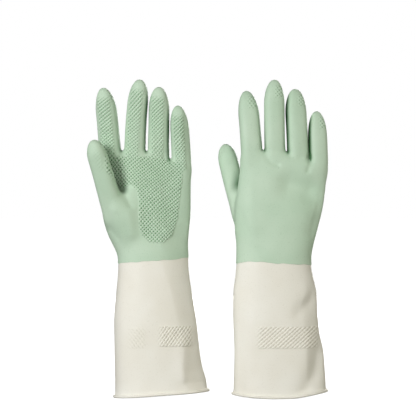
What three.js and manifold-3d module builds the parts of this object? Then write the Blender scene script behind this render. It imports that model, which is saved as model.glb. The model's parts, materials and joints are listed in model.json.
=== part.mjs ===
// A pair of long household rubber gloves, standing side by side on the rolled beads of their cuffs.
//
// Units are millimetres and +Z is up, along the fingers. The left glove is at -X with its palm to -Y, and the
// right glove is at +X with its palm to +Y, so both thumbs point to -X. The origin is under the middle of the
// pair, on the surface that the beads stand on.
//
// A glove is one flexible skin with a flock lining. To let it bend, the skin is made of firm regions (cuff, palm
// and five finger stalls) joined by short bending regions (the wrist and five knuckles). Each bending region
// carries its hinge line in userData.hinge.

import * as THREE from 'three';
import Module from 'manifold-3d';

const wasm = await Module();
wasm.setup();

// ---- Driving dimensions -------------------------------------------------------------------------------------

const LATEX_WALL = 0.6;
const LINING_WALL = 0.4;
const CLEARANCE = 0.3;

// Insets of the four surfaces of the wall, measured inwards from the outside of the glove.
const LATEX_INSIDE = LATEX_WALL;
const LINING_OUTSIDE = LATEX_INSIDE + CLEARANCE;
const LINING_INSIDE = LINING_OUTSIDE + LINING_WALL;

const BEAD_RADIUS = 1.6;
const BEAD_SIDES = 8;
const BEAD_OVERHANG = 0.5;
const BEAD_HEIGHT = 2 * BEAD_RADIUS * Math.cos(Math.PI / BEAD_SIDES);

const WRIST_LINE = 137;
const WRIST_LENGTH = 24;
const WEB_HEIGHT = 245;
const PALM_TOP = 232;

const FINGER_KNUCKLE = 16;
const THUMB_KNUCKLE = 14;

const BODY_SIDES = 20;
const DIGIT_SIDES = 12;
const SECTION_POWER = 2.2;
const DEPTH_TO_WIDTH = 0.92;

const FINGERTIP_DOME = 26;
const DOME_FULLNESS = 0.56;
const THUMB_BASE_DOME = 30;
const FINGER_BASE_DOME = 20;

// How the palm closes in under the webs: share of the rise from PALM_TOP to WEB_HEIGHT, and the shares of the
// width and depth that are left there.
const PALM_CLOSING = [[0.7, 0.97, 0.85], [1, 0.9, 0.55]];

// Where the rings of a digit's two rounded ends lie, as shares of the rounding's length from its pole.
const TIP_RINGS = [1, 0.55, 0.25, 0.07];
const BASE_RINGS = [0.08, 0.3, 0.6, 1];

// Slivers smaller than this, left where the palm and the digits join, are merged away.
const SLIVER = 0.05;

// The distance between the middles of the two cuff mouths.
const GLOVE_PITCH = 119.5;

// Sections of each glove from the mouth to the top of the palm: height, middle in X, half width, half depth.
// X is measured from the middle of the mouth.
const LEFT_BODY = [
  [0, 0, 46.5, 28],
  [34, -3, 44, 27],
  [82, -6.5, 41.4, 26],
  [107, -7.5, 38.4, 24.5],
  [WRIST_LINE, -8, 35.9, 23],
  [WRIST_LINE + WRIST_LENGTH, -9.6, 37.2, 20.5],
  [192, -10.5, 40.4, 17.5],
  [PALM_TOP, -14, 44, 15],
];
const RIGHT_BODY = [
  [0, 0, 46.4, 28],
  [34, -0.5, 46, 27],
  [82, -4.5, 42.9, 26],
  [107, -5, 42.4, 24.5],
  [WRIST_LINE, -6.4, 38, 23],
  [WRIST_LINE + WRIST_LENGTH, -3.8, 39.6, 20.5],
  [192, 0, 43, 17.5],
  [PALM_TOP, 4.3, 44, 15],
];

// Each digit runs straight from a root inside the palm to its tip, both given as X, distance towards the palm
// side, and height. It leaves the palm at the height `leaves`.
const LEFT_DIGITS = {
  thumb: { root: [-39, 11, 165], tip: [-68, 28, 259], leaves: 210 },
  index: { root: [-49, 0, 214], tip: [-58.7, 5, 314], leaves: 253 },
  middle: { root: [-28, 0, 214], tip: [-21.5, 5, 321], leaves: 253 },
  ring: { root: [-3, 0, 214], tip: [-2.2, 5, 314.8], leaves: 252 },
  little: { root: [21, 0, 210], tip: [16.5, 5, 297], leaves: 247 },
};
const RIGHT_DIGITS = {
  thumb: { root: [-28, 11, 165], tip: [-55.5, 28, 256.5], leaves: 210 },
  index: { root: [-26.7, 0, 214], tip: [-33.7, 5, 309.3], leaves: 253 },
  middle: { root: [-3, 0, 214], tip: [-5.2, 5, 320.7], leaves: 253 },
  ring: { root: [19.7, 0, 214], tip: [15.5, 5, 312.3], leaves: 252 },
  little: { root: [39.3, 0, 210], tip: [37.5, 5, 290], leaves: 247 },
};

// Half widths of the digits near the tip and at the root. A thumb widens sharply into the ball of the thumb.
const DIGIT_RADII = {
  thumb: { tip: 9, root: 15.5, flare: 2.2 },
  index: { tip: 10.4, root: 11, flare: 1 },
  middle: { tip: 10, root: 10.6, flare: 1 },
  ring: { tip: 10.2, root: 10.8, flare: 1 },
  little: { tip: 9.4, root: 10, flare: 1 },
};

// ---- Materials ----------------------------------------------------------------------------------------------

const GREEN_LATEX = new THREE.MeshStandardMaterial({ color: 0xa9c7a6, roughness: 0.55, metalness: 0 });
const CREAM_LATEX = new THREE.MeshStandardMaterial({ color: 0xe2e0cf, roughness: 0.5, metalness: 0 });
const FLOCK = new THREE.MeshStandardMaterial({ color: 0xece9e0, roughness: 0.95, metalness: 0 });

// ---- Solids -------------------------------------------------------------------------------------------------

function solidFrom(points, triangles) {
  const vertProperties = new Float32Array(points.flatMap((point) => point.toArray()));
  const triVerts = new Uint32Array(triangles);
  return new wasm.Manifold(new wasm.Mesh({ numProp: 3, vertProperties, triVerts }));
}

function geometryOf(solid) {
  const { vertProperties, triVerts } = solid.getMesh();
  const geometry = new THREE.BufferGeometry();
  geometry.setAttribute('position', new THREE.BufferAttribute(vertProperties, 3));
  geometry.setIndex(new THREE.BufferAttribute(triVerts, 1));
  geometry.computeVertexNormals();
  return geometry;
}

// The two triangles for each side of the band between two rings of points.
function band(low, high, sides) {
  const triangles = [];
  for (let side = 0; side < sides; side += 1) {
    const next = (side + 1) % sides;
    triangles.push(low + side, low + next, high + next);
    triangles.push(low + side, high + next, high + side);
  }
  return triangles;
}

// A closed solid through rings of points, with a fan from a middle point over each end.
function loft(start, rings, end) {
  const sides = rings[0].length;
  const last = 1 + rings.length * sides;
  const triangles = [];
  for (let side = 0; side < sides; side += 1) {
    const next = (side + 1) % sides;
    triangles.push(0, 1 + next, 1 + side);
    triangles.push(last, last - sides + side, last - sides + next);
  }
  for (let ring = 1; ring < rings.length; ring += 1) {
    triangles.push(...band(1 + (ring - 1) * sides, 1 + ring * sides, sides));
  }
  return solidFrom([start, ...rings.flat(), end], triangles);
}

// A closed ring-shaped solid through rings of points, the last joined to the first.
function hoop(rings) {
  const sides = rings[0].length;
  const triangles = [];
  for (let ring = 0; ring < rings.length; ring += 1) {
    triangles.push(...band(ring * sides, ((ring + 1) % rings.length) * sides, sides));
  }
  return solidFrom(rings.flat(), triangles);
}

function join(solids) {
  return solids.reduce((joined, solid) => joined.add(solid));
}

// ---- The body of a glove: cuff, wrist and palm --------------------------------------------------------------

// The section of the body at a height, taken straight between its neighbours.
function sectionAt(body, height) {
  const upper = body.findIndex((section, i) => i > 0 && (section[0] >= height || i === body.length - 1));
  const [low, high] = [body[upper - 1], body[upper]];
  const share = (height - low[0]) / (high[0] - low[0]);
  const [, middle, halfWidth, halfDepth] = low.map((value, i) => THREE.MathUtils.lerp(value, high[i], share));
  return { height, middle, halfWidth, halfDepth };
}

function bodyRing({ height, middle, halfWidth, halfDepth }, inset) {
  return Array.from({ length: BODY_SIDES }, (_, side) => {
    const angle = (2 * Math.PI * side) / BODY_SIDES;
    const [across, along] = [Math.cos(angle), Math.sin(angle)].map(
      (value) => Math.sign(value) * Math.abs(value) ** (2 / SECTION_POWER));
    return new THREE.Vector3(
      middle + (halfWidth - inset) * across, (halfDepth - inset) * along, height);
  });
}

// The heights of the rings of a stretch of the body: its two ends, and the tabled sections between them.
function ringHeights(body, from, to) {
  const between = body.map(([height]) => height).filter((height) => height > from && height < to);
  return [from, ...between, to];
}

// The wall of the body between two heights, from an outer inset to an inner inset.
function bodyShell(body, from, to, outside, inside) {
  const sections = ringHeights(body, from, to).map((height) => sectionAt(body, height));
  const outer = sections.map((section) => bodyRing(section, outside));
  const inner = sections.map((section) => bodyRing(section, inside));
  return hoop([...outer, ...inner.reverse()]);
}

// The body from a height up to the webs between the fingers, where it closes in.
function palmBodySolid(body, from, inset) {
  const top = sectionAt(body, PALM_TOP);
  const closing = PALM_CLOSING.map(([rise, width, depth]) => ({
    height: PALM_TOP + (WEB_HEIGHT - PALM_TOP) * rise - inset,
    middle: top.middle,
    halfWidth: top.halfWidth * width,
    halfDepth: top.halfDepth * depth,
  }));
  const straight = ringHeights(body, from, PALM_TOP).map((height) => sectionAt(body, height));
  const sections = [...straight, ...closing];
  const middles = [sections[0], sections.at(-1)].map(
    ({ middle, height }) => new THREE.Vector3(middle, 0, height));
  return loft(middles[0], sections.map((section) => bodyRing(section, inset)), middles[1]);
}

// ---- The digits ---------------------------------------------------------------------------------------------

// How full a rounded end is at a distance from its tip.
function dome(distance, length) {
  const rest = 1 - Math.min(distance / length, 1);
  return (1 - rest ** 2) ** DOME_FULLNESS;
}

// A digit's line, its frame and its shape, from one row of a digits table.
function makeDigit(name, { root, tip, leaves }, palmSide) {
  const [rootPoint, tipPoint] = [root, tip].map(([x, towardsPalm, z]) => (
    new THREE.Vector3(x, palmSide * towardsPalm, z)));
  const length = rootPoint.distanceTo(tipPoint);
  const axis = tipPoint.clone().sub(rootPoint).normalize();
  const across = new THREE.Vector3(0, 1, 0).cross(axis).normalize();
  const isThumb = name === 'thumb';
  const knuckle = isThumb ? THUMB_KNUCKLE : FINGER_KNUCKLE;
  const knuckleFrom = (tipPoint.z - leaves) / axis.z;
  return {
    radii: DIGIT_RADII[name],
    baseDome: isThumb ? THUMB_BASE_DOME : FINGER_BASE_DOME,
    tip: tipPoint,
    length,
    axis,
    across,
    towards: axis.clone().cross(across),
    knuckleFrom,
    knuckleTo: knuckleFrom - knuckle,
    isThumb,
  };
}

// The point of a digit's line at a distance back from its tip.
function digitPoint(digit, fromTip) {
  return digit.tip.clone().addScaledVector(digit.axis, -fromTip);
}

function digitRing(digit, fromTip, fullness, inset) {
  const { tip, root, flare } = digit.radii;
  const radius = THREE.MathUtils.lerp(tip, root, (fromTip / digit.length) ** flare);
  const middle = digitPoint(digit, fromTip);
  return Array.from({ length: DIGIT_SIDES }, (_, side) => {
    const angle = (2 * Math.PI * side) / DIGIT_SIDES;
    const width = (radius - inset) * fullness * Math.cos(angle);
    const depth = (radius * DEPTH_TO_WIDTH - inset) * fullness * Math.sin(angle);
    return middle.clone().addScaledVector(digit.across, width).addScaledVector(digit.towards, depth);
  });
}

// The rings of a digit's stall at an inset from the outside, from its open end to its rounded tip.
function stallRings(digit, from, inset) {
  const tipRings = TIP_RINGS.map((share) => {
    const depth = share * FINGERTIP_DOME;
    return digitRing(digit, depth + inset, dome(depth, FINGERTIP_DOME), inset);
  });
  return [digitRing(digit, from, 1, inset), ...tipRings];
}

// The wall of a digit's stall: down the inside from the tip, and up the outside back to it.
function stallShell(digit, outside, inside) {
  const from = digit.knuckleTo - CLEARANCE / 2;
  const inner = stallRings(digit, from, inside);
  const outer = stallRings(digit, from, outside);
  return loft(digitPoint(digit, inside), [...inner.reverse(), ...outer], digitPoint(digit, outside));
}

// The wall of a digit's knuckle, open at both ends.
function knuckleShell(digit) {
  const ends = [digit.knuckleFrom - CLEARANCE / 2, digit.knuckleTo + CLEARANCE / 2];
  const outer = ends.map((fromTip) => digitRing(digit, fromTip, 1, 0));
  const inner = ends.map((fromTip) => digitRing(digit, fromTip, 1, LATEX_INSIDE));
  return hoop([...outer, ...inner.reverse()]);
}

// The part of a digit that is inside the palm or swells out of it, with a rounded base and one flat end.
function stumpSolid(digit, to, inset) {
  const base = BASE_RINGS.map((share) => {
    const depth = share * digit.baseDome;
    return digitRing(digit, digit.length - depth - inset, dome(depth, digit.baseDome), inset);
  });
  const rings = [...base, digitRing(digit, to, 1, inset)];
  return loft(digitPoint(digit, digit.length - inset), rings, digitPoint(digit, to));
}

// ---- The palm and the bead ----------------------------------------------------------------------------------

// How far the hollow of the palm runs past each open end, so that the end is cut clean.
const RUN_OUT = 1;

// The wall of the palm: the body and the stumps of the digits joined, less the same shapes further in.
function palmShell(body, digits, from, outside, inside) {
  const full = (inset, runOut) => join([
    palmBodySolid(body, from - runOut, inset),
    ...digits.map((digit) => stumpSolid(digit, digit.knuckleFrom + CLEARANCE / 2 - runOut, inset)),
  ]);
  return full(outside, 0).subtract(full(inside, RUN_OUT)).simplify(SLIVER);
}

// The rolled bead: a thick hoop under the edge of the cuff, with a flat underside to stand on.
function beadSolid(body) {
  const mouth = sectionAt(body, 0);
  const rings = Array.from({ length: BEAD_SIDES }, (_, side) => {
    const angle = (2 * Math.PI * (side + 0.5)) / BEAD_SIDES;
    const outwards = BEAD_OVERHANG + BEAD_RADIUS * Math.cos(angle);
    const height = BEAD_HEIGHT / 2 + BEAD_RADIUS * Math.sin(angle);
    return bodyRing({ ...mouth, height }, -outwards);
  });
  return hoop(rings);
}

// ---- A glove ------------------------------------------------------------------------------------------------

// The line that a digit folds about. A finger folds flat onto the palm, and the thumb folds across it too.
function digitHinge(digit, palmSide) {
  const fold = new THREE.Vector3(digit.isThumb ? 1 : 0, palmSide, 0);
  const point = digitPoint(digit, (digit.knuckleFrom + digit.knuckleTo) / 2);
  return { point, axis: digit.axis.clone().cross(fold).normalize() };
}

function wristHinge(body, palmSide) {
  const { middle, height } = sectionAt(body, WRIST_LINE + WRIST_LENGTH / 2);
  return { point: new THREE.Vector3(middle, 0, height), axis: new THREE.Vector3(-palmSide, 0, 0) };
}

function makeGlove(side, palmSide, body, digitTable) {
  const glove = new THREE.Group();
  const digits = Object.entries(digitTable).map(([name, row]) => [name, makeDigit(name, row, palmSide)]);
  const shapes = digits.map(([, digit]) => digit);

  const addPiece = (name, solid, material) => {
    const mesh = new THREE.Mesh(geometryOf(solid), material);
    mesh.name = `${side}_${name}`;
    glove.add(mesh);
    return mesh;
  };

  const cuffFrom = BEAD_HEIGHT + CLEARANCE;
  const wristFrom = WRIST_LINE + CLEARANCE;
  const wristTo = WRIST_LINE + WRIST_LENGTH;
  const palmFrom = wristTo + CLEARANCE;

  addPiece('cuff', bodyShell(body, cuffFrom, WRIST_LINE, 0, LATEX_INSIDE), CREAM_LATEX);
  addPiece('cuff_bead', beadSolid(body), CREAM_LATEX);
  addPiece('cuff_lining', bodyShell(body, cuffFrom, WRIST_LINE, LINING_OUTSIDE, LINING_INSIDE), FLOCK);
  const wrist = addPiece('wrist', bodyShell(body, wristFrom, wristTo, 0, LATEX_INSIDE), GREEN_LATEX);
  wrist.userData.hinge = wristHinge(body, palmSide);
  addPiece('palm', palmShell(body, shapes, palmFrom, 0, LATEX_INSIDE), GREEN_LATEX);
  addPiece('palm_lining', palmShell(body, shapes, palmFrom, LINING_OUTSIDE, LINING_INSIDE), FLOCK);

  for (const [name, digit] of digits) {
    const knuckle = addPiece(`${name}_knuckle`, knuckleShell(digit), GREEN_LATEX);
    knuckle.userData.hinge = digitHinge(digit, palmSide);
    addPiece(`${name}_stall`, stallShell(digit, 0, LATEX_INSIDE), GREEN_LATEX);
    addPiece(`${name}_lining`, stallShell(digit, LINING_OUTSIDE, LINING_INSIDE), FLOCK);
  }
  return glove;
}

// ---- The pair -----------------------------------------------------------------------------------------------

const pair = new THREE.Group();
const leftGlove = makeGlove('left', -1, LEFT_BODY, LEFT_DIGITS);
const rightGlove = makeGlove('right', 1, RIGHT_BODY, RIGHT_DIGITS);
rightGlove.position.x = GLOVE_PITCH;
pair.add(leftGlove, rightGlove);

// The origin goes under the middle of the pair.
const middleOfPair = new THREE.Box3().setFromObject(pair).getCenter(new THREE.Vector3());
pair.position.set(-middleOfPair.x, -middleOfPair.y, 0);

export default pair;
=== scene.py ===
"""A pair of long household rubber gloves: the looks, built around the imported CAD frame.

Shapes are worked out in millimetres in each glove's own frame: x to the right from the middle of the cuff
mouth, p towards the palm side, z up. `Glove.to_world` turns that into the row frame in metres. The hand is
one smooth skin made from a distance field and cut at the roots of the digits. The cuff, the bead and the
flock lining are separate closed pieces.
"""

import json
import math

import bmesh
import bpy
import numpy as np
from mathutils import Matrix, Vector


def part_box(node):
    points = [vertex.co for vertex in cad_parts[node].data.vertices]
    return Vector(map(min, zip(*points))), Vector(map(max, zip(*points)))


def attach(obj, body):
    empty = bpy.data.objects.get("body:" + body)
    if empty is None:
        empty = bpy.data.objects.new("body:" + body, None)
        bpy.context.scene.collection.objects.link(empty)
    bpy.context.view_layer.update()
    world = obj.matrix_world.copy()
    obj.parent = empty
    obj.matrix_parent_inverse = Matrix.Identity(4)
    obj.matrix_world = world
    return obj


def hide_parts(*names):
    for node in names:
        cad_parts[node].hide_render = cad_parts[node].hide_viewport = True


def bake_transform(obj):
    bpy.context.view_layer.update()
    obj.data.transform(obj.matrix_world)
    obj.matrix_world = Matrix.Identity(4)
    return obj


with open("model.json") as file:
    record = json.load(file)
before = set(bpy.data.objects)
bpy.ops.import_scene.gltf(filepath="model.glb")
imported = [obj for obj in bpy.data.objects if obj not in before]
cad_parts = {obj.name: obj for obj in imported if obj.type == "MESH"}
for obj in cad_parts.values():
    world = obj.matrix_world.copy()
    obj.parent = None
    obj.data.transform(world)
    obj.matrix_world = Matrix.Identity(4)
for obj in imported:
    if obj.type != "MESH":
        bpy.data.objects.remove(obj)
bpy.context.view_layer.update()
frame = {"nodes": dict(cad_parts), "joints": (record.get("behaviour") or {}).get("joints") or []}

# ---- Driving dimensions, in millimetres ------------------------------------------------------------------

MM = 0.001

# The layers of the wall, as offsets from the outline of the glove.
GREEN_OUTSIDE = 0.2
GREEN_WALL = 0.4
CREAM_OUTSIDE = -0.3
CREAM_WALL = 0.35
LINING_OUTSIDE = -0.95
LINING_WALL = 0.35

BEAD_RADIUS = 1.45
# How far the cuff swells out into the bead, over which height, and where the bead's middle lies.
BEAD_LIP = 0.9
LIP_REACH = 3.2
BEAD_OFFSET = BEAD_LIP - 0.4
# The soft shapes of the cuff fade in over this height above its mouth.
MOUTH_FADE = 8
CREAM_TOP = 150
LINING_BOTTOM = 5

# The height of the seam at the wrist, where the lining of the hand ends and that of the cuff begins.
WRIST_SEAM = 137
# The box that the surface of the hand is searched for in.
HAND_LOW = (-92, -32, 126)
HAND_HIGH = (58, 46, 326)

SECTION_POWER = 2.2
DIGIT_DEPTH = 0.92
DIGIT_POWER = 2.6
FINGER_JOIN = 4
# How softly the thumb joins the palm: height, reach.
THUMB_JOIN = ((150, 22), (190, 18), (208, 5), (214, 1.5))
# How far the root of the thumb sinks into the palm.
THUMB_SINK = 9
WEB_ROUNDING = 7

# The ball of the thumb, a rounded bulge of the palm: its lower and upper middle, and its radius.
THENAR = {
    "left": ((-33, 4, 172), (-36, 5, 190), 13),
    "right": ((-23, 4, 172), (-25, 5, 190), 13),
}
THENAR_JOIN = 14
# The hollow between the thumb and the palm, scooped out with the same kind of shape.
CROTCH = {
    "left": ((-53, 19, 230), (-47, 19, 214), 15.5),
    "right": ((-41, 19, 230), (-36, 19, 214), 15.5),
}
CROTCH_JOIN = 6

# The size of the faces of the hand, and how many points go round the cuff and its parts.
SKIN_STEP = 1.1
LINING_STEP = 2.4
CUFF_COLUMNS = 400
LINING_COLUMNS = 120
BEAD_COLUMNS = 360
BEAD_SIDES = 14

# Outline of each body: height, left edge, right edge, half depth.
BODY = {
    "left": (
        (0, -47, 47, 28), (16, -46.9, 45, 27.6), (34, -47.4, 41, 27.3), (58, -47.9, 37.9, 26.6),
        (82, -47.9, 34.9, 26), (107, -45.9, 30.8, 24.5), (131, -43.9, 27.8, 23.2), (143, -44.2, 27.4, 22.4),
        (155, -49, 26.8, 21.2), (167, -54, 27.4, 19.9), (179, -58, 28.6, 18.6), (191, -59.5, 29.3, 17.4),
        (203, -59, 29.5, 16.2), (215, -57.5, 29.6, 15), (228, -57.6, 29.8, 13), (240, -59, 29.8, 10.6),
        (252, -60, 30, 8), (264, -60, 30, 6),
    ),
    "right": (
        (0, -47, 47, 28), (28, -46.4, 45.5, 27.4), (52, -46.4, 43.5, 26.8), (64, -46.8, 40.6, 26.5),
        (82, -47.4, 38.4, 26), (107, -47.2, 37.2, 24.5), (131, -44.4, 32.3, 23.2), (143, -43.7, 32, 22.4),
        (155, -43.8, 34, 21.2), (167, -44.6, 37, 19.9), (191, -44, 43, 17.4), (215, -42, 46, 15),
        (228, -40.5, 47, 13),
        (240, -39.6, 48, 10.6), (252, -39, 48.5, 8), (264, -39, 48.5, 6),
    ),
}

# The height of the webs, where the body ends between the fingers: x, height.
WEBS = {
    "left": ((-60, 244), (-38, 249), (-15, 248), (7, 241), (30, 234)),
    "right": ((-40, 244), (-16, 249), (7, 247), (29, 239), (48, 232)),
}

# Each digit: half width at the tip and the root, how sharply it widens, the length and fullness of its
# rounded tip.
DIGITS = {
    "thumb": dict(tip=9.5, root=14.5, flare=2.7, dome=18, fullness=0.53),
    "index": dict(tip=10.2, root=10.8, flare=1, dome=27, fullness=0.48),
    "middle": dict(tip=9.9, root=10.4, flare=1, dome=25, fullness=0.46),
    "ring": dict(tip=10, root=10.6, flare=1, dome=25, fullness=0.46),
    "little": dict(tip=9, root=9.8, flare=1, dome=25, fullness=0.47),
}
# How far the line of each digit bows to the right.
BOW = {
    "left": dict(thumb=-0.8, index=1, middle=-1.2, ring=0, little=0.8),
    "right": dict(thumb=-2.4, index=1, middle=-1.2, ring=0, little=0.4),
}
# How far each section turns its right wall towards the palm side, in degrees, and how far each tip leans
# that way.
TURN = {
    "left": dict(thumb=18, index=12, middle=14, ring=10, little=4),
    "right": dict(thumb=-8, index=2, middle=4, ring=17, little=17),
}
LEAN = {
    "left": dict(thumb=0, index=0, middle=1, ring=0, little=0),
    "right": dict(thumb=0, index=0, middle=-2.5, ring=2, little=4),
}
# How far the middle of each digit bends away from the palm side.
CURL = dict(thumb=0, index=1.5, middle=1.5, ring=1.5, little=1.2)
# How far the skin of a digit stops short of the tip in the frame.
TRIM = {
    "left": dict(thumb=0, index=1.7, middle=0.3, ring=1.6, little=2.4),
    "right": dict(thumb=0, index=-0.5, middle=0, ring=0.5, little=0.5),
}
FINGERS = ("index", "middle", "ring", "little")
# The skin of a digit leaves the palm at this height, and a length for a bend at its root.
LEAVES = {"thumb": 211, "index": 253, "middle": 253, "ring": 252, "little": 247}
BEND_LENGTH = {"thumb": 22, "index": 28, "middle": 28, "ring": 28, "little": 26}
# How far a digit's shape runs on below its hinge.
ROOT_DEPTH = 39
THUMB_ROOT_DEPTH = 53

# The edge of the green coat: x, height.
COLOUR_LINE = {
    "left": ((-50, 135.6), (-43, 135.8), (-20, 137.8), (0, 139.2), (11.7, 139.4), (27, 141.3), (40, 142)),
    "right": ((-50, 135.4), (-43, 135.8), (-33, 137.6), (-21, 137.8), (-8, 136.2), (31, 134.3), (40, 134)),
}

# Diamond grip: its height, and its share of that on the fingers, the thumb and the backs of the tips.
GRIP_HEIGHT = 1.1
FINGER_GRIP = 0.75
THUMB_GRIP = 0.18
BACK_PAD_GRIP = 0.5
# Its two families of ridges: their angle above the horizontal and their spacing.
RISING_GRIP = (42, 2.79)
FALLING_GRIP = (-50, 2.53)
# The side of the finger walls, along x, where the painted shade between the fingers is strongest.
SHADED_SIDES = {"left": 1, "right": -1}
# The grip area of the palm, from the middle of the palm: x, height.
PALM_PAD = (
    (-26, 211), (-16, 215.5), (-9.8, 209.5), (-7, 199), (-7.4, 170), (-5.4, 164), (0.3, 157), (13.9, 156.5),
    (24.8, 163), (33, 182), (34.5, 205), (36, 236), (12, 243), (-41, 243), (-41, 228),
)
# Grip areas of the cuffs: x from, x to, z from, z to, angle, spacing, share of the full height.
CUFF_GRIPS = {
    "left": ((-4, 31, 53, 73, 55, 2.7, 0.95), (-33, -15, 51, 71, -51, 2.89, 0.35)),
    "right": ((-25, 39, 51, 72.5, 42, 2.89, 0.68),),
}

# Soft shapes on each side of a glove: the x and z of the points of a line, its width, and its height, which
# is negative in a hollow.
SOFT_SHAPES = {
    ("left", "palm"): (
        (((-38, 208), (-34, 200), (-31, 194)), 3, -1.0),
        (((-12, 164), (-4, 152), (4, 140)), 5, -0.8),
        (((-32, 185), (-29, 166)), 5, 1.2),
        (((-44, 184), (-43, 162)), 3, -0.5),
        (((4, 240), (12, 200), (15, 178)), 14, -3.0),
        (((-40, 110), (-38, 20)), 7, 0.5),
        (((20, 54), (22, 20)), 6, 1.5),
    ),
    ("left", "back"): (
        (((-30, 120), (-10, 60)), 7, -1.0),
        (((10, 100), (18, 30)), 7, -0.9),
        (((-4, 225), (8, 190)), 13, -1.0),
    ),
    ("right", "back"): (
        (((19, 86), (22, 92), (30, 97), (40, 106)), 7, -2.0),
        (((52, 58), (43, 42), (27, 6)), 8.5, -3.0),
        (((-38, 84), (-40, 8)), 4.5, -0.7),
        (((-31, 80), (-31, 10)), 6, 0.5),
        (((-14, 249), (-12.5, 242), (-8, 237), (-3, 235)), 3.2, -1.3),
        (((9, 247), (11, 242.5), (16, 240.5), (20, 241)), 3, -0.9),
        (((30.3, 244), (30.5, 236), (28.5, 229)), 2.6, -1.4),
        (((10, 214), (28, 209)), 13, -6.5),
        (((37, 196), (31, 168)), 8, -1.6),
        (((-33, 226), (-30, 160)), 9, 0.5),
    ),
    ("right", "palm"): (
        (((-30, 215), (-22, 196)), 2.6, -0.7),
        (((-12, 159), (6, 137)), 6, -1.0),
        (((0, 120), (18, 70)), 6, -0.9),
        (((-20, 60), (-16, 20)), 7, -0.8),
    ),
}

# Flats that the body folds into: the way each faces, in degrees from +x towards the palm side, and how deep
# it is pressed in at rising heights. A flat with a negative depth lies clear of the skin.
FLATS = {
    "left": (
        (48, (
            (0, 1.5), (12, 4.8), (27, 4.2), (46, 2), (62, 1.6), (80, 3.2), (103, 4), (124, 4.2),
            (140, 4.6), (154, 4.6), (166, 3), (180, 0),
        )),
        (58, (
            (86, -9), (98, 0), (112, 2.2), (126, 3.6), (140, 4.6), (152, 5), (161, 4.6), (171, 2.2),
            (180, -1), (196, -30),
        )),
        (-50, ((0, 1), (30, 2.2), (80, 0.6), (120, 2), (140, 0))),
    ),
    "right": (
        (-46, (
            (0, 0.8), (20, 3.2), (46, 3.6), (62, 1.6), (78, 2.4), (91, 3.4), (104, 1.4), (125, 0.4),
            (140, 0),
        )),
        (-40, ((140, -30), (150, -2), (162, 1), (178, 2), (196, 1.6), (208, -2), (222, -30))),
        (50, ((0, 1), (40, 2.4), (90, 0.8), (115, 2), (140, 0))),
    ),
}
# How softly a flat ends.
FLAT_EDGE = 2.2

# How far the edge of the mouth lifts: x, height. The lift ends at MOUTH_REACH.
MOUTH_LIFT = {
    "left": ((-47, 0), (-25, 1.5), (0, 3.5), (25, 5), (47, 6.5)),
    "right": ((-47, 3), (-27, 1), (-8, 0.3), (15, 0.8), (47, 6)),
}
MOUTH_REACH = 36

# ---- Small maths -----------------------------------------------------------------------------------------


def smoothstep(low, high, value):
    """0 below low, 1 above high, smooth in between."""
    t = np.clip((value - low) / (high - low), 0, 1)
    return t * t * (3 - 2 * t)


def smooth_curve(rows, at):
    """The columns of rows after the first, at values of the first, on a smooth curve through the rows."""
    table = np.array(rows, float)
    knots, columns = table[:, 0], table[:, 1:]
    slopes = np.gradient(columns, knots, axis=0)
    at = np.clip(at, knots[0], knots[-1])
    i = np.clip(np.searchsorted(knots, at) - 1, 0, len(knots) - 2)
    gap = (knots[i + 1] - knots[i])[:, None]
    t = ((at - knots[i])[:, None]) / gap
    start, end = columns[i], columns[i + 1]
    return (
        start * (1 + 2 * t) * (1 - t) ** 2
        + end * t * t * (3 - 2 * t)
        + gap * slopes[i] * t * (1 - t) ** 2
        + gap * slopes[i + 1] * t * t * (t - 1)
    ).T


def smooth_min(a, b, reach):
    """The smaller of two distances, rounded where they are within reach of each other."""
    h = np.maximum(reach - np.abs(a - b), 0) / reach
    return np.minimum(a, b) - h * h * reach / 4


def capsule_distance(points, start, end, radius):
    """Signed distance to a capsule."""
    line = np.subtract(end, start)
    share = np.clip((points - start) @ line / (line @ line), 0, 1)
    return np.linalg.norm(points - start - share[:, None] * line, axis=1) - radius


def segment_distance(x, z, x0, z0, x1, z1):
    """Distance in the x-z plane to the segment between two points."""
    dx, dz = x1 - x0, z1 - z0
    t = np.clip(((x - x0) * dx + (z - z0) * dz) / max(dx * dx + dz * dz, 1e-9), 0, 1)
    return np.hypot(x - x0 - t * dx, z - z0 - t * dz)


def line_distance(x, z, line):
    """Distance in the x-z plane to a line through points."""
    return np.min([segment_distance(x, z, *a, *b) for a, b in zip(line, line[1:])], axis=0)


def outline_depth(x, z, outline):
    """How far inside a closed outline a point is, negative outside."""
    nearest = np.full(x.shape, 1e9)
    inside = np.zeros(x.shape, bool)
    for (x0, z0), (x1, z1) in zip(outline, outline[1:] + outline[:1]):
        nearest = np.minimum(nearest, segment_distance(x, z, x0, z0, x1, z1))
        if z0 != z1:
            crosses = (z0 > z) != (z1 > z)
            inside ^= crosses & (x < x0 + (z - z0) * (x1 - x0) / (z1 - z0))
    return np.where(inside, nearest, -nearest)


def ridge_phase(x, z, angle, spacing):
    """The phase of parallel ridges at an angle above the horizontal, in turns."""
    rise = math.radians(angle)
    return (z * math.cos(rise) - x * math.sin(rise)) / spacing


def ridge_height(marks):
    """The height of the grip as a share of GRIP_HEIGHT: two families of waves added together."""
    mask, crossed, rising, falling, _ = marks.T
    waves = np.cos(2 * math.pi * rising) + crossed * np.cos(2 * math.pi * falling)
    return mask * (0.5 + 0.5 * waves / (1 + crossed))


def section_outline(angles):
    """The across and along parts of a section of width and depth 1, at angles round it."""
    return [np.sign(part) * np.abs(part) ** (2 / SECTION_POWER) for part in (np.cos(angles), np.sin(angles))]


def unit(vectors):
    return vectors / np.maximum(np.linalg.norm(vectors, axis=1, keepdims=True), 1e-12)


def face_normals(points, triangles):
    """The normals of triangles, as long as twice their areas."""
    corners = points[triangles]
    return np.cross(corners[:, 1] - corners[:, 0], corners[:, 2] - corners[:, 0])


def vertex_normals(points, triangles):
    """Unit normals at the vertices, weighted by area."""
    flat = face_normals(points, triangles)
    total = np.zeros_like(points)
    for k in range(3):
        np.add.at(total, triangles[:, k], flat)
    return unit(total)


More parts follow.
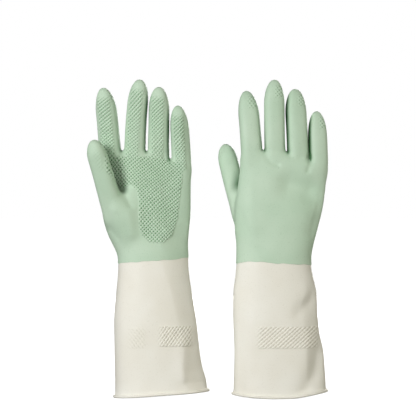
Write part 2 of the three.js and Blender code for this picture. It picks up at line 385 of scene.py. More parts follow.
# ---- The gloves ------------------------------------------------------------------------------------------


class Digit:
    """A digit's line, from its hinge and the top of its stall in the frame, and its shape."""

    def __init__(self, glove, name):
        shape = DIGITS[name]
        hinge = next(j for j in frame["joints"] if j["name"] == f"{glove.side}_{name}_bend")
        stall = frame["nodes"][f"{glove.side}_{name}_stall"].data.vertices
        self.tip = glove.to_local(max((v.co for v in stall), key=lambda co: co.z))
        pivot = glove.to_local(Vector(hinge["pos_m"]))
        self.axis = (self.tip - pivot) / np.linalg.norm(self.tip - pivot)
        self.tip = self.tip - TRIM[glove.side][name] * self.axis
        depth = THUMB_ROOT_DEPTH if name == "thumb" else ROOT_DEPTH
        self.length = np.linalg.norm(self.tip - pivot) + depth
        self.across = np.cross((0, 1, 0), self.axis)
        self.across /= np.linalg.norm(self.across)
        self.towards = np.cross(self.axis, self.across)
        if self.towards[1] < 0:
            self.towards = -self.towards
        self.shape = shape
        self.bow, self.curl = BOW[glove.side][name], CURL[name]
        self.sink = THUMB_SINK if name == "thumb" else 0
        self.turn, self.lean = math.radians(TURN[glove.side][name]), LEAN[glove.side][name]
        self.leaves = (self.tip[2] - LEAVES[name]) / self.axis[2]
        self.bend = BEND_LENGTH[name]

    def coordinates(self, points):
        """Distance back from the tip, and offsets across and towards the palm, of each point."""
        rel = points - self.tip
        back = -rel @ self.axis
        u = np.clip(back / self.length, 0, 1)
        bow = 4 * u * (1 - u)
        across = rel @ self.across - bow * self.bow
        towards = rel @ self.towards + bow * self.curl + self.sink * u**3 - self.lean * (1 - u)
        cos, sin = math.cos(self.turn), math.sin(self.turn)
        return back, across * cos + towards * sin, towards * cos - across * sin

    def radius(self, back):
        u = np.clip(back / self.length, 0, 1) ** self.shape["flare"]
        return self.shape["tip"] + (self.shape["root"] - self.shape["tip"]) * u

    def distance(self, points):
        """Signed distance to the digit's surface, right near the surface."""
        back, across, towards = self.coordinates(points)
        radius = self.radius(back)
        flat = np.abs(across) ** DIGIT_POWER + np.abs(towards / DIGIT_DEPTH) ** DIGIT_POWER
        k = np.maximum(flat ** (1 / DIGIT_POWER) / radius, 1e-3)
        power = 1 / self.shape["fullness"]
        rest = np.maximum(1 - back / self.shape["dome"], 0)
        sunk = np.maximum(back - self.length + self.shape["dome"], 0) / self.shape["dome"]
        full = k**power + rest**2 + sunk**2
        slope_k = power * k ** (power - 1) / radius
        slope_t = 2 * (rest + sunk) / self.shape["dome"]
        slope = np.maximum(np.hypot(slope_k, slope_t), 0.02)
        return (np.sqrt(full) - 1) * 2 * np.sqrt(full) / slope


class Glove:
    """One glove: its frame and its outline."""

    def __init__(self, side):
        self.side = side
        self.facing = -1 if side == "left" else 1
        low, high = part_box(f"{side}_cuff_bead")
        self.middle_x, self.middle_y = (low.x + high.x) / 2, (low.y + high.y) / 2
        self.digits = {name: Digit(self, name) for name in DIGITS}

    def to_local(self, co):
        return np.array([co.x - self.middle_x, self.facing * (co.y - self.middle_y), co.z]) / MM

    def to_world(self, points):
        turned = points * (1, self.facing, 1) * MM
        return turned + (self.middle_x, self.middle_y, 0)

    def section(self, z):
        """Middle, half width and half depth of the body at heights z."""
        left, right, depth = smooth_curve(BODY[self.side], z)
        return (left + right) / 2, (right - left) / 2, depth

    def body_distance(self, points):
        x, p, z = points.T
        middle, width, depth = self.section(z)
        a = np.abs(x - middle) / width
        b = np.abs(p) / depth
        k = np.maximum((a**SECTION_POWER + b**SECTION_POWER) ** (1 / SECTION_POWER), 1e-3)
        slope = np.hypot((a / k) ** (SECTION_POWER - 1) / width, (b / k) ** (SECTION_POWER - 1) / depth)
        side = (k - 1) / np.maximum(slope, 0.01)
        web_x, web_z = np.array(WEBS[self.side], float).T
        top = z - np.interp(x, web_x, web_z)
        return -smooth_min(-side, -top, WEB_ROUNDING)

    def distance(self, points):
        """Signed distance to the surface of the hand."""
        fingers = np.min([self.digits[name].distance(points) for name in FINGERS], axis=0)
        hand = smooth_min(self.body_distance(points), fingers, FINGER_JOIN)
        hand = -smooth_min(-hand, capsule_distance(points, *CROTCH[self.side]), CROTCH_JOIN)
        hand = smooth_min(hand, capsule_distance(points, *THENAR[self.side]), THENAR_JOIN)
        heights, reach = np.array(THUMB_JOIN, float).T
        thumb = self.digits["thumb"]
        inner = smoothstep(-8, 6, thumb.coordinates(points)[1])
        join = np.interp(points[:, 2], heights, reach) * (0.15 + 0.85 * inner)
        return smooth_min(hand, thumb.distance(points), join)

    def gradient(self, points, step=0.25):
        columns = []
        for axis in np.eye(3):
            columns.append(self.distance(points + step * axis) - self.distance(points - step * axis))
        return np.stack(columns, axis=1) / (2 * step)

    def pressed(self, points, offset=0):
        """The points of a layer at an offset from the outline, with the flats pressed in."""
        for angle, rows in FLATS[self.side]:
            facing = np.array([math.cos(math.radians(angle)), math.sin(math.radians(angle)), 0])
            middle, width, depth = self.section(points[:, 2])
            dual = SECTION_POWER / (SECTION_POWER - 1)
            reach = (width * abs(facing[0])) ** dual + (depth * abs(facing[1])) ** dual
            heights, sunk = np.array(rows, float).T
            flat = middle * facing[0] + reach ** (1 / dual) - np.interp(points[:, 2], heights, sunk)
            over = points @ facing - flat - offset
            moved = np.where(over > 0, over * over / (over + FLAT_EDGE), 0)
            points = points - moved[:, None] * facing
        return points

    def mouth_lift(self, points):
        """How far the mouth, which isn't quite level, lifts the points."""
        x, lift = np.array(MOUTH_LIFT[self.side], float).T
        rise = np.interp(points[:, 0], x, lift) * (1 - smoothstep(0, MOUTH_REACH, points[:, 2]))
        return rise[:, None] * (0, 0, 1)

    def colour_line(self, x):
        line_x, line_z = np.array(COLOUR_LINE[self.side], float).T
        return np.interp(x, line_x, line_z) + 0.25 * np.sin(x / 3.1) + 0.15 * np.sin(x / 1.7)

    def soft_relief(self, points, normals):
        """Soft hollows and folds that both layers of latex share."""
        x, _, z = points.T
        height = 0.1 * np.sin(x / 7 + z / 11) + 0.08 * np.sin(x / 4.3 - z / 9.1 + 1)
        for face, sign in (("palm", 1), ("back", -1)):
            facing = smoothstep(0.25, 0.8, sign * normals[:, 1])
            for line, width, rise in SOFT_SHAPES[self.side, face]:
                near = line_distance(x, z, line) / width
                height = height + facing * rise * np.exp(-near * near)
        return height

    def hand_marks(self, points, normals):
        """The diamond grip of the hand: where it is, how strongly its ridges are crossed, and the phases of
        both families of ridges. The last mark is where shade is painted into the colour: on the walls
        between the fingers and in the hollow between thumb and palm."""
        x, _, z = points.T
        palm_facing = smoothstep(0.2, 0.6, normals[:, 1])
        middle = self.section(z)[0]
        mask = smoothstep(-1.2, 1.2, outline_depth(x - middle, z, PALM_PAD)) * palm_facing
        crossed = np.full_like(mask, 0.9)
        for name, digit in self.digits.items():
            back, across, towards = digit.coordinates(points)
            side = across / digit.radius(back)
            near = (np.hypot(across, towards) < 1.25 * digit.radius(back)) & (back < digit.length - 14)
            own = near * palm_facing * smoothstep(7, 14, back) * (1 - smoothstep(0.5, 0.75, np.abs(side)))
            if name == "thumb":
                own = own * (1 - smoothstep(26, 36, back)) * smoothstep(-0.2, 0.3, side) * THUMB_GRIP
            else:
                # The small grip pad on the back of a fingertip.
                pad = near * smoothstep(5, 8, back) * (1 - smoothstep(17, 20, back))
                pad = pad * smoothstep(-0.1, 0.15, side) * (1 - smoothstep(0.75, 0.9, side))
                pad = pad * smoothstep(0.2, 0.5, -normals[:, 1])
                own = np.maximum(own * FINGER_GRIP, pad * BACK_PAD_GRIP)
            # The ridges of a finger cross towards its root, and on the back.
            turned = np.where(normals[:, 1] > 0, np.interp(back, (25, 75), (0.25, 0.9)), 0.9)
            crossed = np.where(own > mask, turned, crossed)
            mask = np.maximum(mask, own)
        drift = 0.3 * np.sin(x / 13 + z / 17) + 0.2 * np.sin(z / 9 - x / 21)
        phases = [ridge_phase(x, z, *family) + drift for family in (RISING_GRIP, FALLING_GRIP)]
        return np.stack([mask, crossed, *phases, self.painted_gap_shade(points, normals)], axis=1)

    def painted_gap_shade(self, points, normals):
        """Where shade is painted into the colour: on the walls between the fingers, strongest on one side,
        and in the hollow between thumb and palm.
        """
        fingers = np.sort([self.digits[name].distance(points) for name in FINGERS], axis=0)
        walls = (1 - smoothstep(2, 7, fingers[1])) * (1 - smoothstep(0.45, 0.9, np.abs(normals[:, 1])))
        walls = walls * (0.2 + 0.8 * smoothstep(-0.3, 0.4, SHADED_SIDES[self.side] * normals[:, 0]))
        gap = np.maximum(self.digits["thumb"].distance(points), self.body_distance(points))
        crotch = (1 - smoothstep(3, 11, gap)) * smoothstep(203, 217, points[:, 2])
        return np.maximum(walls, crotch)

    def cuff_marks(self, points, normals):
        """The same marks for the grip bands of the cuff."""
        x, _, z = points.T
        front = smoothstep(0.15, 0.45, np.abs(normals[:, 1]))
        marks = np.zeros((len(points), len(MARKS)))
        cross_share, cross_spacing = 0.4, 1.3
        for x_from, x_to, z_from, z_to, angle, spacing, share in CUFF_GRIPS[self.side]:
            across = smoothstep(x_from - 2, x_from + 8, x) * (1 - smoothstep(x_to - 4, x_to + 2, x))
            along = smoothstep(z_from - 0.6, z_from + 0.6, z) * (1 - smoothstep(z_to - 0.6, z_to + 0.6, z))
            phases = [ridge_phase(x, z, angle, spacing), ridge_phase(x, z, -angle, spacing * cross_spacing)]
            mask = share * front * across * along
            band = np.stack([mask, np.full_like(x, cross_share), *phases, np.zeros_like(x)], axis=1)
            marks = np.where(band[:, :1] > marks[:, :1], band, marks)
        return marks


# ---- Surfaces --------------------------------------------------------------------------------------------


def surface_net(values, low, step):
    """Points and outward quads of the zero surface of a grid of distances."""
    inside = values < 0
    shape = np.array(values.shape)
    cells = tuple(shape - 1)
    total = np.zeros(cells + (3,))
    count = np.zeros(cells)
    for axis in range(3):
        others = [a for a in range(3) if a != axis]
        for corner in ((0, 0), (0, 1), (1, 0), (1, 1)):
            near = [slice(None)] * 3
            near[axis] = slice(0, -1)
            for other, offset in zip(others, corner):
                near[other] = slice(offset, shape[other] - 1 + offset)
            far = list(near)
            far[axis] = slice(1, None)
            a, b = values[tuple(near)], values[tuple(far)]
            crosses = (a < 0) != (b < 0)
            share = np.where(crosses, a / np.where(crosses, a - b, 1), 0)
            total[..., axis] += share
            for other, offset in zip(others, corner):
                total[..., other] += crosses * offset
            count += crosses
    used = count > 0
    index = np.full(cells, -1)
    index[used] = np.arange(used.sum())
    cell = np.argwhere(used)
    points = low + step * (cell + total[used] / count[used][:, None])
    quads = []
    for axis in range(3):
        u, v = [a for a in range(3) if a != axis]
        edge = [slice(1, -1)] * 3
        edge[axis] = slice(0, -1)
        far = list(edge)
        far[axis] = slice(1, None)
        here, there = inside[tuple(edge)], inside[tuple(far)]
        at = np.argwhere(here != there)
        leaving = here[here != there]
        at[:, [u, v]] += 1
        ring = []
        for du, dv in ((-1, -1), (0, -1), (0, 0), (-1, 0)):
            corner = at.copy()
            corner[:, u] += du
            corner[:, v] += dv
            ring.append(index[tuple(corner.T)])
        ring = np.stack(ring, axis=1)
        forward = leaving if axis != 1 else ~leaving
        quads.append(np.where(forward[:, None], ring, ring[:, ::-1]))
    return points, np.concatenate(quads)


def relaxed(glove, points, quads, level, rounds):
    """Spreads the points evenly over the surface at a level of the distance field."""
    pairs = np.concatenate([np.stack([quads[:, k], quads[:, (k + 1) % 4]], 1) for k in range(4)])
    pairs = np.concatenate([pairs, pairs[:, ::-1]])
    count = np.bincount(pairs[:, 0], minlength=len(points))[:, None]
    for _ in range(rounds):
        columns = [np.bincount(pairs[:, 0], points[pairs[:, 1], k], len(points)) for k in range(3)]
        total = np.stack(columns, axis=1)
        points = 0.5 * points + 0.5 * total / np.maximum(count, 1)
        slope = glove.gradient(points)
        error = (glove.distance(points) - level)[:, None]
        points = points - error * slope / np.maximum((slope**2).sum(1, keepdims=True), 0.05)
    return points


def hand_surface(glove, level, step, rounds):
    """Points and quads of the hand at a level of the distance field, open at the wrist."""
    low = np.array(HAND_LOW, float)
    axes = [np.arange(a, b + step, step) for a, b in zip(low, HAND_HIGH)]
    grid = np.stack(np.meshgrid(*axes, indexing="ij"), axis=-1)
    values = glove.distance(grid.reshape(-1, 3)).reshape(grid.shape[:3]) - level
    points, quads = surface_net(values, low, step)
    return relaxed(glove, points, quads, level, rounds), quads


def bmesh_of(points, faces):
    bm = bmesh.new()
    vertices = [bm.verts.new(co) for co in points]
    for face in faces:
        bm.faces.new([vertices[i] for i in face])
    return bm


def arrays_of(bm):
    """Points, triangles and the triangles' regions of a bmesh, which is freed."""
    bmesh.ops.triangulate(bm, faces=bm.faces[:])
    bm.verts.index_update()
    points = np.array([v.co for v in bm.verts])
    triangles = np.array([[v.index for v in f.verts] for f in bm.faces])
    regions = np.array([f.material_index for f in bm.faces])
    bm.free()
    return points, triangles, regions


def centres_of(bm):
    return np.array([f.calc_center_median() for f in bm.faces])


def own_faces(glove, name, centres):
    """Which faces belong to a digit rather than to the rest of the hand."""
    digit = glove.digits[name]
    own = digit.distance(centres)
    rest = [glove.body_distance(centres)]
    rest += [other.distance(centres) for key, other in glove.digits.items() if key != name]
    return own < np.min(rest, axis=0)


def cut(bm, faces, point, normal):
    """Cuts faces with a plane."""
    edges = {e for f in faces for e in f.edges}
    verts = {v for f in faces for v in f.verts}
    bmesh.ops.bisect_plane(
        bm, geom=[*verts, *edges, *faces], plane_co=Vector(point), plane_no=Vector(normal), dist=1e-4
    )


def cut_at_roots(glove, bm):
    """Cuts each digit off at its root and numbers its faces, the palm's being 0."""
    for number, (name, digit) in enumerate(glove.digits.items(), start=1):
        root = digit.tip - digit.axis * digit.leaves
        bm.faces.ensure_lookup_table()
        centres = centres_of(bm)
        above = (centres - root) @ digit.axis
        near = own_faces(glove, name, centres) & (np.abs(above) < 5)
        cut(bm, [bm.faces[i] for i in np.flatnonzero(near)], root, digit.axis)
        bm.faces.ensure_lookup_table()
        centres = centres_of(bm)
        above = (centres - root) @ digit.axis > 0
        for i in np.flatnonzero(own_faces(glove, name, centres) & above):
            bm.faces[i].material_index = number


def trim_at_line(bm, line):
    """Removes what is under a line, which gives a height for each x."""
    for v in bm.verts:
        v.co.z -= line(v.co.x)
    bmesh.ops.bisect_plane(
        bm, geom=[*bm.verts, *bm.edges, *bm.faces], plane_co=(0, 0, 0), plane_no=(0, 0, 1), dist=1e-4,
        clear_inner=True,
    )
    for v in bm.verts:
        v.co.z += line(v.co.x)


def refine_grip(glove, bm):
    """Halves the faces that carry the diamond grip."""
    bm.faces.ensure_lookup_table()
    centres = centres_of(bm)
    normals = np.array([f.normal for f in bm.faces])
    mask = glove.hand_marks(centres, normals)[:, 0]
    edges = {e for i in np.flatnonzero(mask > 0.02) for e in bm.faces[i].edges}
    bmesh.ops.subdivide_edges(bm, edges=list(edges), cuts=1, use_grid_fill=True)


# ---- Pieces ----------------------------------------------------------------------------------------------

# The marks kept on the latex; the last is where shade is painted between the digits and by the thumb.
MARKS = ("grip", "crossed", "rising", "falling", "painted_gap_shade")


def shell_arrays(outer, inner, triangles, normals):
    """A closed wall between two copies of a surface: points, triangles and corner normals."""
    count = len(outer)
    edges = np.concatenate([triangles[:, [0, 1]], triangles[:, [1, 2]], triangles[:, [2, 0]]])
    forward = edges[:, 0] * count + edges[:, 1]
    backward = edges[:, 1] * count + edges[:, 0]
    rim = edges[~np.isin(forward, backward)]
    i, j = rim.T
    rim_triangles = np.concatenate([
        np.stack([j, i, i + count], 1),
        np.stack([j, i + count, j + count], 1),
    ])
    points = np.concatenate([outer, inner])
    faces = np.concatenate([triangles, triangles[:, ::-1] + count, rim_triangles])
    corner_normals = np.concatenate([
        normals[triangles].reshape(-1, 3),
        -normals[triangles[:, ::-1]].reshape(-1, 3),
        np.repeat(unit(face_normals(points, rim_triangles)), 3, axis=0),
    ])
    return points, faces, corner_normals


def mesh_object(glove, name, points, triangles, material, corner_normals=None, marks=None):
    """A mesh object in the row frame from triangles in the glove's frame. Its points at rest, in mm, and its
    marks are kept as attributes, so that its textures stay on it when it bends."""
    if glove.facing < 0:
        triangles = triangles[:, ::-1]
        if corner_normals is not None:
            corner_normals = corner_normals.reshape(-1, 3, 3)[:, ::-1].reshape(-1, 3)
    mesh = bpy.data.meshes.new(name)
    mesh.vertices.add(len(points))
    mesh.vertices.foreach_set("co", glove.to_world(points).astype(np.float32).ravel())
    mesh.loops.add(3 * len(triangles))
    mesh.loops.foreach_set("vertex_index", triangles.astype(np.int32).ravel())
    mesh.polygons.add(len(triangles))
    mesh.polygons.foreach_set("loop_start", np.arange(0, 3 * len(triangles), 3, dtype=np.int32))
    mesh.polygons.foreach_set("use_smooth", np.ones(len(triangles), bool))
    mesh.update()
    if corner_normals is not None:
        mesh.normals_split_custom_set((corner_normals * (1, glove.facing, 1)).tolist())
    rest = mesh.attributes.new("rest", "FLOAT_VECTOR", "POINT")
    rest.data.foreach_set("vector", points.astype(np.float32).ravel())
    if marks is not None:
        for key, values in zip(MARKS, marks.T):
            mesh.attributes.new(key, "FLOAT", "POINT").data.foreach_set("value", values.astype(np.float32))
    mesh.materials.append(material)
    piece = bpy.data.objects.new(name, mesh)
    bpy.context.scene.collection.objects.link(piece)
    return piece


def bend_at_wrist(piece):
    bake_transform(piece)


def bend_at_knuckle(glove, piece, name):
    digit = glove.digits[name]
    root = digit.tip - digit.axis * digit.leaves
    start, end = (tuple(glove.to_world(point)) for point in (root, root + digit.axis * digit.bend))
    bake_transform(piece)


def with_plain_inside(marks):
    """The marks of a shell: the outside's, and none inside."""
    return np.concatenate([marks, marks * (0, 1, 1, 1, 0)])


def hand_pieces(glove, surface, wall, marks, suffix, material, replaced):
    """Splits a hand surface into closed pieces for the palm and the digits, and hides the parts of the frame
    that they replace.
    """
    points, base, triangles, regions = surface
    normals = vertex_normals(points, triangles)
    inward = vertex_normals(base, triangles)
    inner = base - wall * inward
    for number, region in enumerate(("palm", *glove.digits)):
        own = triangles[regions == number]
        used, compact = np.unique(own, return_inverse=True)
        compact = compact.reshape(own.shape)
        shell, faces, corner_normals = shell_arrays(points[used], inner[used], compact, normals[used])
        own_marks = None if marks is None else with_plain_inside(marks[used])
        name = f"{glove.side}_{region}_{suffix}"
        piece = mesh_object(glove, name, shell, faces, material, corner_normals, own_marks)
        if region == "palm":
            bend_at_wrist(piece)
        else:
            bend_at_knuckle(glove, piece, region)
        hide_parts(*[f"{glove.side}_{node}" for node in replaced(region)])


def split_hand(glove, level, step, rounds, line):
    """The hand at a level of the distance field, cut at the roots of the digits and trimmed at a line."""
    bm = bmesh_of(*hand_surface(glove, level, step, rounds))
    bm.normal_update()
    cut_at_roots(glove, bm)
    trim_at_line(bm, line)
    bm.normal_update()
    return bm


def make_green_skin(glove, material):
    bm = split_hand(glove, 0, SKIN_STEP, 3, glove.colour_line)
    refine_grip(glove, bm)
    base, triangles, regions = arrays_of(bm)
    normals = unit(glove.gradient(base))
    marks = glove.hand_marks(base, normals)
    base = glove.pressed(base) + (GREEN_OUTSIDE + glove.soft_relief(base, normals))[:, None] * normals
    outer = base + (GRIP_HEIGHT * ridge_height(marks))[:, None] * normals
    hand_pieces(
        glove, (outer, base, triangles, regions), GREEN_WALL, marks, "skin", material,
        lambda region: ("palm", "wrist") if region == "palm" else (f"{region}_stall", f"{region}_knuckle"),
    )


def make_hand_lining(glove, material):
    bm = split_hand(glove, LINING_OUTSIDE, LINING_STEP, 2, lambda x: WRIST_SEAM)
    base, triangles, regions = arrays_of(bm)
    normals = vertex_normals(base, triangles)
    base = glove.pressed(base, LINING_OUTSIDE) + glove.soft_relief(base, normals)[:, None] * normals
    hand_pieces(
        glove, (base, base, triangles, regions), LINING_WALL, None, "flock", material,
        lambda region: (f"{region}_lining",),
    )


def ring_points(glove, angles, z, offset):
    """Points round the body at heights z, at an offset from its outline."""
    middle, width, depth = glove.section(z)
    across, along = section_outline(angles)
    return np.stack([middle + (width + offset) * across, (depth + offset) * along, z], 1)


def grid_triangles(rows, columns):
    """Triangles of a tube of rings, with its outside where the angle grows and the rows rise."""
    row, column = np.meshgrid(np.arange(rows - 1), np.arange(columns), indexing="ij")
    a = (row * columns + column).ravel()
    b = (row * columns + (column + 1) % columns).ravel()
    return np.concatenate([np.stack([a, b, b + columns], 1), np.stack([a, b + columns, a + columns], 1)])


def even_angles(columns):
    """Angles that space the points of a cuff's ring evenly."""
    half_width, half_depth = 44, 26
    fine = np.linspace(0, 2 * math.pi, 4001)
    across, along = section_outline(fine)
    ring = np.stack([half_width * across, half_depth * along], axis=1)
    run = np.concatenate([[0], np.cumsum(np.linalg.norm(np.diff(ring, axis=0), axis=1))])
    return np.interp(np.linspace(0, run[-1], columns, endpoint=False), run, fine)


def cuff_surface(glove, columns, heights, offset, lip):
    """A layer of the cuff at an offset: its points, its triangles and the normals of its outline."""
    angles = np.tile(even_angles(columns), len(heights))
    z = np.repeat(heights, columns)
    outline = ring_points(glove, angles, z, offset)
    triangles = grid_triangles(len(heights), columns)
    normals = vertex_normals(outline, triangles)
    swell = lip * np.exp(-((z / LIP_REACH) ** 2))
    fade = smoothstep(0, MOUTH_FADE, z)
    points = glove.pressed(outline, offset)
    points = points + (swell + fade * glove.soft_relief(outline, normals))[:, None] * normals
    return points + glove.mouth_lift(points), triangles, normals


def make_cuff(glove, material):
    """The cream cuff, from the bead up under the green coat, with finer rows at its grip bands."""
    heights = np.concatenate([
        np.arange(BEAD_RADIUS, 48, 1.5), np.arange(48, 76, 0.6), np.arange(76, CREAM_TOP + 0.1, 1.5),
    ])
    base, triangles, _ = cuff_surface(glove, CUFF_COLUMNS, heights, CREAM_OUTSIDE, BEAD_LIP)
    normals = vertex_normals(base, triangles)
    marks = glove.cuff_marks(base, normals)
    outer = base + (GRIP_HEIGHT * ridge_height(marks))[:, None] * normals
    inner = base - CREAM_WALL * normals
    points, faces, corner_normals = shell_arrays(outer, inner, triangles, vertex_normals(outer, triangles))
    piece = mesh_object(
        glove, f"{glove.side}_cuff_skin", points, faces, material, corner_normals,
        with_plain_inside(marks),
    )
    bend_at_wrist(piece)
    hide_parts(f"{glove.side}_cuff")


def make_cuff_lining(glove, material):
    heights = np.arange(LINING_BOTTOM, WRIST_SEAM + 0.1, 4)
    outer, triangles, normals = cuff_surface(glove, LINING_COLUMNS, heights, LINING_OUTSIDE, lip=0)
    inner = outer - LINING_WALL * normals
    points, faces, corner_normals = shell_arrays(outer, inner, triangles, normals)
    piece = mesh_object(
        glove, f"{glove.side}_cuff_flock", points, faces, material, corner_normals
    )
    bend_at_wrist(piece)
    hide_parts(f"{glove.side}_cuff_lining")


def make_bead(glove, material):
    """The bead rolled round the mouth, a little uneven."""
    columns, sides = BEAD_COLUMNS, BEAD_SIDES
    angles = even_angles(columns)
    middle = ring_points(glove, angles, np.zeros(columns), BEAD_OFFSET)
    middle = glove.pressed(middle, BEAD_OFFSET)
    middle = middle + glove.mouth_lift(middle) + (0, 0, BEAD_RADIUS)
    along = np.roll(middle, -1, axis=0) - np.roll(middle, 1, axis=0)
    out = unit(np.cross(along, (0, 0, 1)))
    turn = 2 * math.pi * np.arange(sides) / sides
    swell = 1 + 0.05 * np.sin(5 * angles) + 0.03 * np.sin(17 * angles + 1)
    rings = (
        middle[:, None]
        + out[:, None] * (swell[:, None] * BEAD_RADIUS * np.cos(turn))[..., None]
        + np.array([0, 0, 1]) * (BEAD_RADIUS * np.sin(turn))[None, :, None]
    )
    points = rings.reshape(-1, 3)
    column, side = np.meshgrid(np.arange(columns), np.arange(sides), indexing="ij")
    a = (column * sides + side).ravel()
    b = (column * sides + (side + 1) % sides).ravel()
    c = (((column + 1) % columns) * sides + (side + 1) % sides).ravel()
    d = (((column + 1) % columns) * sides + side).ravel()
    triangles = np.concatenate([np.stack([a, c, b], 1), np.stack([a, d, c], 1)])
    piece = mesh_object(glove, f"{glove.side}_bead", points, triangles, material)
    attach(piece, f"{glove.side}_cuff")
    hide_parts(f"{glove.side}_cuff_bead")


# ---- Materials -------------------------------------------------------------------------------------------


def linear(rgb):
    """Linear colour from 8-bit sRGB."""
    share = [c / 255 for c in rgb]
    return [c / 12.92 if c <= 0.04045 else ((c + 0.055) / 1.055) ** 2.4 for c in share] + [1]


def feed(tree, socket, value):
    """Links a socket to the one given as its value, or sets it to a constant."""
    if isinstance(value, bpy.types.NodeSocket):
        tree.links.new(value, socket)
    else:
        socket.default_value = value


def add_node(tree, kind, inputs=(), **settings):
    """A node with its settings and its inputs."""
    node = tree.nodes.new(kind)
    for key, value in settings.items():
        setattr(node, key, value)
    for key, value in dict(inputs).items():
        feed(tree, node.inputs[key], value)
    return node


class Nodes:
    """A short way to write a material's nodes."""

    def __init__(self, name):
        self.material = bpy.data.materials.new(name)
        self.material.use_nodes = True
        self.tree = self.material.node_tree
        self.shader = self.tree.nodes["Principled BSDF"]

    def add(self, kind, inputs=(), **settings):
        return add_node(self.tree, kind, inputs, **settings)

    def attribute(self, name, output="Fac"):
        return self.add("ShaderNodeAttribute", attribute_name=name).outputs[output]

    def noise(self, size, detail=3, roughness=0.55):
        """Noise whose largest patches are about size mm wide, fixed to the piece at rest."""
        rest = self.attribute("rest", "Vector")
        inputs = {"Vector": rest, "Scale": 1 / size, "Detail": detail, "Roughness": roughness}
        return self.add("ShaderNodeTexNoise", inputs).outputs["Fac"]

    def maths(self, operation, first, second=0.0):
        return self.add("ShaderNodeMath", {0: first, 1: second}, operation=operation).outputs["Value"]

    def wave(self, phase):
        return self.maths("COSINE", self.maths("MULTIPLY", self.attribute(phase), 2 * math.pi))

    def ridges(self):
        """The height of the grip before its mask, 0 to 1, as in the mesh."""
        crossed = self.attribute("crossed")
        falling = self.maths("MULTIPLY", crossed, self.wave("falling"))
        waves = self.maths("ADD", self.wave("rising"), falling)
        share = self.maths("DIVIDE", waves, self.maths("ADD", crossed, 1.0))
        return self.spread(share, -1, 1, 0, 1)

    def mix(self, share, first, second):
        node = self.add("ShaderNodeMix", data_type="RGBA")
        sockets = [s for s in node.inputs if s.enabled]
        for socket, value in zip(sockets, (share, first, second)):
            feed(self.tree, socket, value)
        return next(s for s in node.outputs if s.enabled)

    def spread(self, value, from_low, from_high, to_low, to_high):
        """The value carried from one range to another, and held at its ends."""
        ends = {"From Min": from_low, "From Max": from_high, "To Min": to_low, "To Max": to_high}
        return self.add("ShaderNodeMapRange", {"Value": value, **ends}).outputs["Result"]

    def bump(self, height, strength, distance, normal=None):
        inputs = {"Height": height, "Strength": strength, "Distance": distance}
        if normal is not None:
            inputs["Normal"] = normal
        return self.add("ShaderNodeBump", inputs).outputs["Normal"]

    def surface(self, inputs):
        for key, value in inputs.items():
            feed(self.tree, self.shader.inputs[key], value)


# 8-bit colours of the latex: its base; a darker tone for its specks, which is also painted into the grooves
# of the grip as shade; a lighter tone for its clouds, which is also painted on the ridges as a highlight;
# and the colour of the painted shade between the digits and in the hollow by the thumb.
GREEN = dict(base=(193, 218, 194), speck_and_groove_shade=(82, 136, 88), light=(202, 224, 202), gap_shade_colour=(16, 88, 28))
CREAM = dict(base=(242, 239, 228), speck_and_groove_shade=(176, 170, 146), light=(246, 244, 235), gap_shade_colour=(200, 196, 176))
LATEX_ROUGHNESS = 0.55
LATEX_SPECULAR = 0.3


def latex(name, base, speck_and_groove_shade, light, gap_shade_colour, groove_shade_share):
    """Dipped latex: cloudy colour with specks, painted shade in the grooves of the grip and a painted
    highlight on its ridges, painted shade between the digits and in the hollow by the thumb, and a matte
    skin with a fine grain."""
    nodes = Nodes(name)
    cloud = nodes.spread(nodes.noise(45, 2), 0.35, 0.65, 0, 1)
    colour = nodes.mix(cloud, linear(base), linear(light))
    speck = nodes.spread(nodes.noise(1.1, 2), 0.6, 0.8, 0, 0.25)
    colour = nodes.mix(speck, colour, linear(speck_and_groove_shade))
    grip, ridges = nodes.attribute("grip"), nodes.ridges()
    # Painted shade in the grooves of the grip.
    sunk = nodes.maths("MULTIPLY", grip, nodes.spread(ridges, 0.45, 0.05, 0, groove_shade_share))
    colour = nodes.mix(sunk, colour, linear(speck_and_groove_shade))
    # Painted highlight on the ridges of the grip.
    painted_ridge_highlight = nodes.maths("MULTIPLY", grip, nodes.spread(ridges, 0.5, 1, 0, 0.6))
    colour = nodes.mix(painted_ridge_highlight, colour, linear(light))
    # Painted shade on the walls between the fingers and in the hollow between thumb and palm.
    painted_gap_shade = nodes.maths("MULTIPLY", nodes.attribute("painted_gap_shade"), 0.93)
    colour = nodes.mix(painted_gap_shade, colour, linear(gap_shade_colour))
    rough = nodes.spread(nodes.noise(16, 3), 0.3, 0.7, LATEX_ROUGHNESS - 0.06, LATEX_ROUGHNESS + 0.06)
    waves = nodes.bump(nodes.noise(6, 3), 0.25, 0.0006)
    grain = nodes.bump(nodes.noise(0.7, 2), 0.2, 0.0002, waves)
    normal = nodes.bump(nodes.maths("MULTIPLY", grip, ridges), 0.5, 0.0004, grain)
    nodes.surface({"Base Color": colour, "Roughness": rough, "Normal": normal})
    nodes.surface({"Specular IOR Level": LATEX_SPECULAR})
    return nodes.material


def flock():
    """Cotton flock: short fuzz with tufts."""
    nodes = Nodes("cotton_flock")
    tufts = nodes.noise(1.4, 4, 0.7)
    colour = nodes.mix(tufts, linear((214, 210, 198)), linear((246, 244, 236)))
    nodes.surface({"Base Color": colour, "Normal": nodes.bump(tufts, 0.8, 0.0006)})
    nodes.surface({"Roughness": 0.95, "Sheen Weight": 0.5, "Sheen Roughness": 0.6})
    return nodes.material


# ---- Setting ---------------------------------------------------------------------------------------------

VIEW_WIDTH = 0.420
VIEW_MIDDLE = (-0.0013, 0.1914)
CAMERA_DISTANCE = 2.5
SENSOR_WIDTH = 36
AIM = (0, 0, 0.17)
# The way to the brightest part of the surroundings.
BRIGHT_SIDE = (0.8, -0.6, 0)
FLOOR_HALF = 40


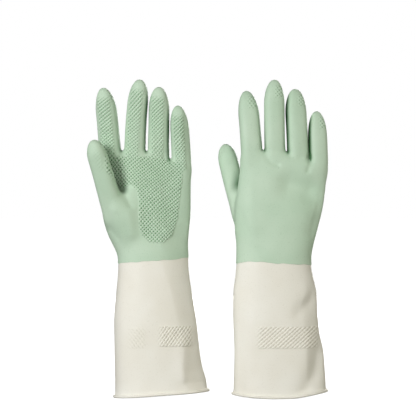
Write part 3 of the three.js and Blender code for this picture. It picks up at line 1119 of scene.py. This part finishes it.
def make_camera():
    camera = bpy.data.objects.new("camera", bpy.data.cameras.new("camera"))
    camera.data.sensor_width = SENSOR_WIDTH
    camera.data.lens = SENSOR_WIDTH * CAMERA_DISTANCE / VIEW_WIDTH
    camera.location = (VIEW_MIDDLE[0], -CAMERA_DISTANCE, VIEW_MIDDLE[1])
    camera.rotation_euler = (math.pi / 2, 0, 0)
    camera.data.clip_end = 100
    bpy.context.scene.collection.objects.link(camera)
    bpy.context.scene.camera = camera


def area_light(name, place, size, power, tint=(1, 1, 1)):
    """A soft square light that faces the middle of the pair."""
    light = bpy.data.lights.new(name, "AREA")
    light.color = tint
    light.size = size
    light.energy = power
    lamp = bpy.data.objects.new(name, light)
    lamp.visible_camera = False
    lamp.location = place
    aim = Vector(AIM) - lamp.location
    lamp.rotation_euler = aim.to_track_quat("-Z", "Y").to_euler()
    bpy.context.scene.collection.objects.link(lamp)


def make_world(low, high, tint):
    """White to the camera, and on the gloves a weaker, tinted light, strongest from the front right."""
    world = bpy.data.worlds.new("studio")
    world.use_nodes = True
    tree = world.node_tree
    light = tree.nodes["Background"]
    light.inputs["Color"].default_value = (*tint, 1)
    way = add_node(tree, "ShaderNodeTexCoord").outputs["Generated"]
    turned = add_node(tree, "ShaderNodeVectorMath", {0: way, 1: BRIGHT_SIDE}, operation="DOT_PRODUCT")
    ends = {"From Min": -1, "To Min": low, "To Max": high}
    strength = add_node(tree, "ShaderNodeMapRange", {"Value": turned.outputs["Value"], **ends})
    tree.links.new(strength.outputs["Result"], light.inputs["Strength"])
    backdrop = add_node(tree, "ShaderNodeBackground", {"Color": (1, 1, 1, 1)})
    seen = add_node(tree, "ShaderNodeLightPath").outputs["Is Camera Ray"]
    sides = {0: seen, 1: light.outputs["Background"], 2: backdrop.outputs["Background"]}
    choice = add_node(tree, "ShaderNodeMixShader", sides)
    tree.links.new(choice.outputs["Shader"], tree.nodes["World Output"].inputs["Surface"])
    bpy.context.scene.world = world


def make_floor():
    """A pale floor, bright enough to meet the white background without an edge."""
    nodes = Nodes("floor")
    nodes.surface({"Base Color": (0.5, 0.5, 0.5, 1), "Roughness": 1, "Specular IOR Level": 0})
    nodes.surface({"Emission Color": (1, 1, 1, 1), "Emission Strength": 1})
    mesh = bpy.data.meshes.new("floor")
    corners = [(x * FLOOR_HALF, y * FLOOR_HALF, 0) for x, y in ((-1, -1), (1, -1), (1, 1), (-1, 1))]
    mesh.from_pydata(corners, [], [(0, 1, 2, 3)])
    mesh.materials.append(nodes.material)
    floor = bpy.data.objects.new("floor", mesh)
    floor.visible_diffuse = False
    floor.visible_glossy = False
    bpy.context.scene.collection.objects.link(floor)


# ---- The scene -------------------------------------------------------------------------------------------

bpy.context.scene.view_settings.view_transform = "Standard"
make_camera()
make_world(low=0.0, high=0.3, tint=(1, 0.98, 0.84))
make_floor()
area_light("key", (-1.6, -2.0, 0.9), 0.9, 46)
area_light("front", (-0.3, -2.6, 0.4), 1.6, 9)
area_light("fill", (2.6, -0.8, 0.4), 1.6, 18, tint=(1, 0.97, 0.87))
area_light("side", (-2.6, -0.6, 0.5), 1.2, 4)
area_light("rear", (0.6, 2.6, 0.9), 1.6, 50)

green = latex("green_latex", **GREEN, groove_shade_share=0.95)
cream = latex("cream_latex", **CREAM, groove_shade_share=0.6)
cotton = flock()

for glove in (Glove("left"), Glove("right")):
    make_green_skin(glove, green)
    make_cuff(glove, cream)
    make_bead(glove, cream)
    make_hand_lining(glove, cotton)
    make_cuff_lining(glove, cotton)
